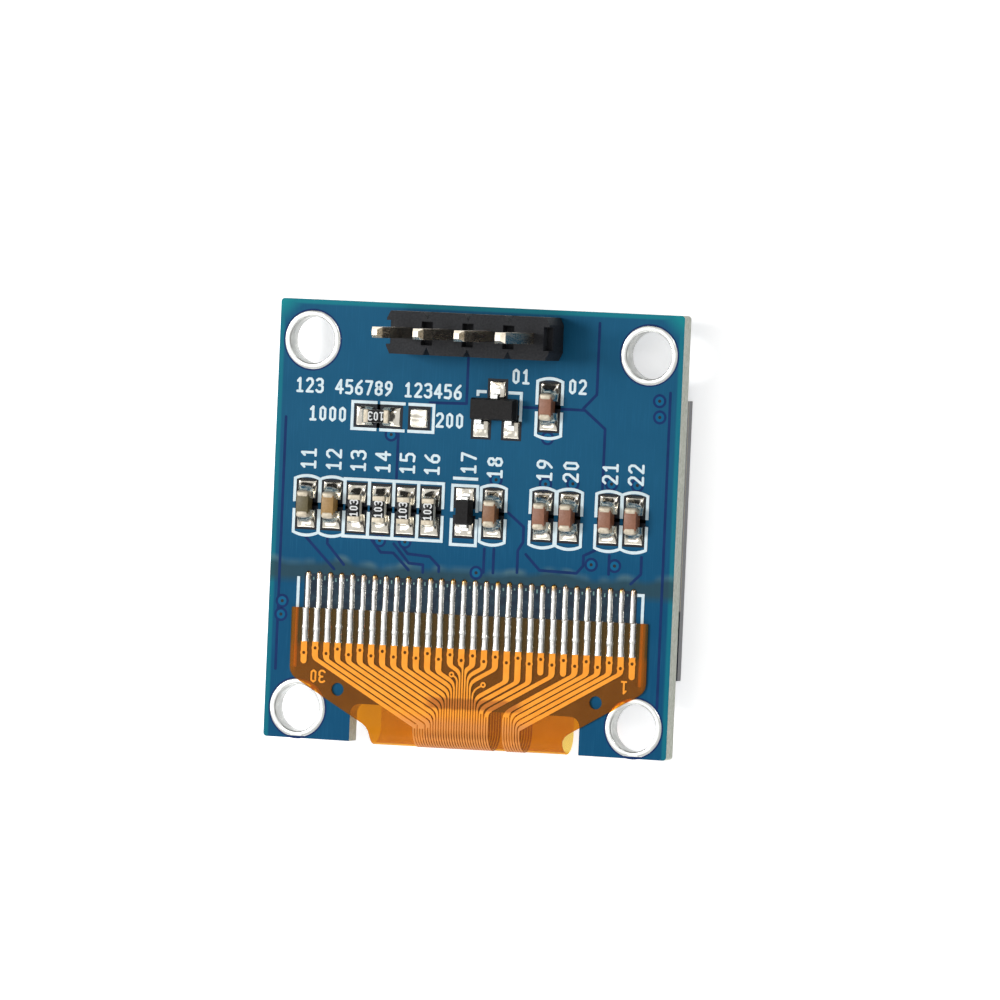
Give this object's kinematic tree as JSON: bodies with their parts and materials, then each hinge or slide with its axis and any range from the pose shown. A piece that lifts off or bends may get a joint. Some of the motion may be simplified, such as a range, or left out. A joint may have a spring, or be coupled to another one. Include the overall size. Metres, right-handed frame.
{
  "type": "small oled module",
  "caption": "Flat display module lying face down: glass panel taped under a blue circuit board, with a folded flexible circuit, chip parts and a pin header.",
  "frame": {"origin": "centre of the board's outline, on the display's outer face", "axes": "+Z from the display face to the header's pin tips, +Y to the header edge, +X to the right when the parts side is looked at with the header edge up"},
  "size_m": [0.0252, 0.0263, 0.011],
  "materials": {
    "solder_mask": "glossy blue solder mask over copper",
    "tinned_copper": "bright solder-coated copper",
    "solder": "bright reflowed solder",
    "white_ink": "screen-printed white ink",
    "panel_glass": "thin display glass",
    "polariser": "glossy dark film",
    "cathode": "evaporated metal film",
    "glue": "cured glue bead",
    "drying_sheet": "matt white sheet",
    "silicon": "polished silicon back",
    "sealant": "clear grey resin",
    "foam_tape": "soft white foam",
    "polyimide": "amber translucent film",
    "copper": "copper under amber film",
    "housing_plastic": "satin black moulded plastic",
    "gold_plate": "thin gold flash over brass",
    "capacitor_ceramic": "fired brown ceramic",
    "chip_end": "matt tinned end",
    "resistor_coat": "black glass coat",
    "package_epoxy": "black moulding epoxy",
    "tinned_lead": "tinned lead frame"
  },
  "bodies": {
    "root": {"circuit_board": "solder_mask", "header_pads": "tinned_copper", "board_fingers": "solder", "silkscreen": "white_ink", "chip_solder": "solder", "panel_glass": "panel_glass", "cap_glass": "panel_glass", "polariser": "polariser", "emitter_layer": "cathode", "seal_frame": "glue", "desiccant": "drying_sheet", "driver_chip": "silicon", "chip_sealant": "sealant", "mount_tape": "foam_tape", "flex_film": "polyimide", "flex_traces": "copper", "flex_fingers": "solder", "header_housing": "housing_plastic", "header_solder": "solder", "diode_body": "package_epoxy", "diode_leads": "tinned_lead", "transistor_body": "package_epoxy", "transistor_leads": "tinned_lead", "mount_eyelet_1": "tinned_copper", "header_pin_1": "gold_plate", "mount_eyelet_2": "tinned_copper", "header_pin_2": "gold_plate", "mount_eyelet_3": "tinned_copper", "header_pin_3": "gold_plate", "mount_eyelet_4": "tinned_copper", "header_pin_4": "gold_plate", "capacitor_1": "capacitor_ceramic", "capacitor_ends_1": "chip_end", "capacitor_2": "capacitor_ceramic", "capacitor_ends_2": "chip_end", "capacitor_3": "capacitor_ceramic", "capacitor_ends_3": "chip_end", "capacitor_4": "capacitor_ceramic", "capacitor_ends_4": "chip_end", "capacitor_5": "capacitor_ceramic", "capacitor_ends_5": "chip_end", "capacitor_6": "capacitor_ceramic", "capacitor_ends_6": "chip_end", "capacitor_7": "capacitor_ceramic", "capacitor_ends_7": "chip_end", "capacitor_8": "capacitor_ceramic", "capacitor_ends_8": "chip_end", "resistor_1": "resistor_coat", "resistor_ends_1": "chip_end", "resistor_2": "resistor_coat", "resistor_ends_2": "chip_end", "resistor_3": "resistor_coat", "resistor_ends_3": "chip_end", "resistor_4": "resistor_coat", "resistor_ends_4": "chip_end", "resistor_5": "resistor_coat", "resistor_ends_5": "chip_end"}
  },
  "joints": []
}
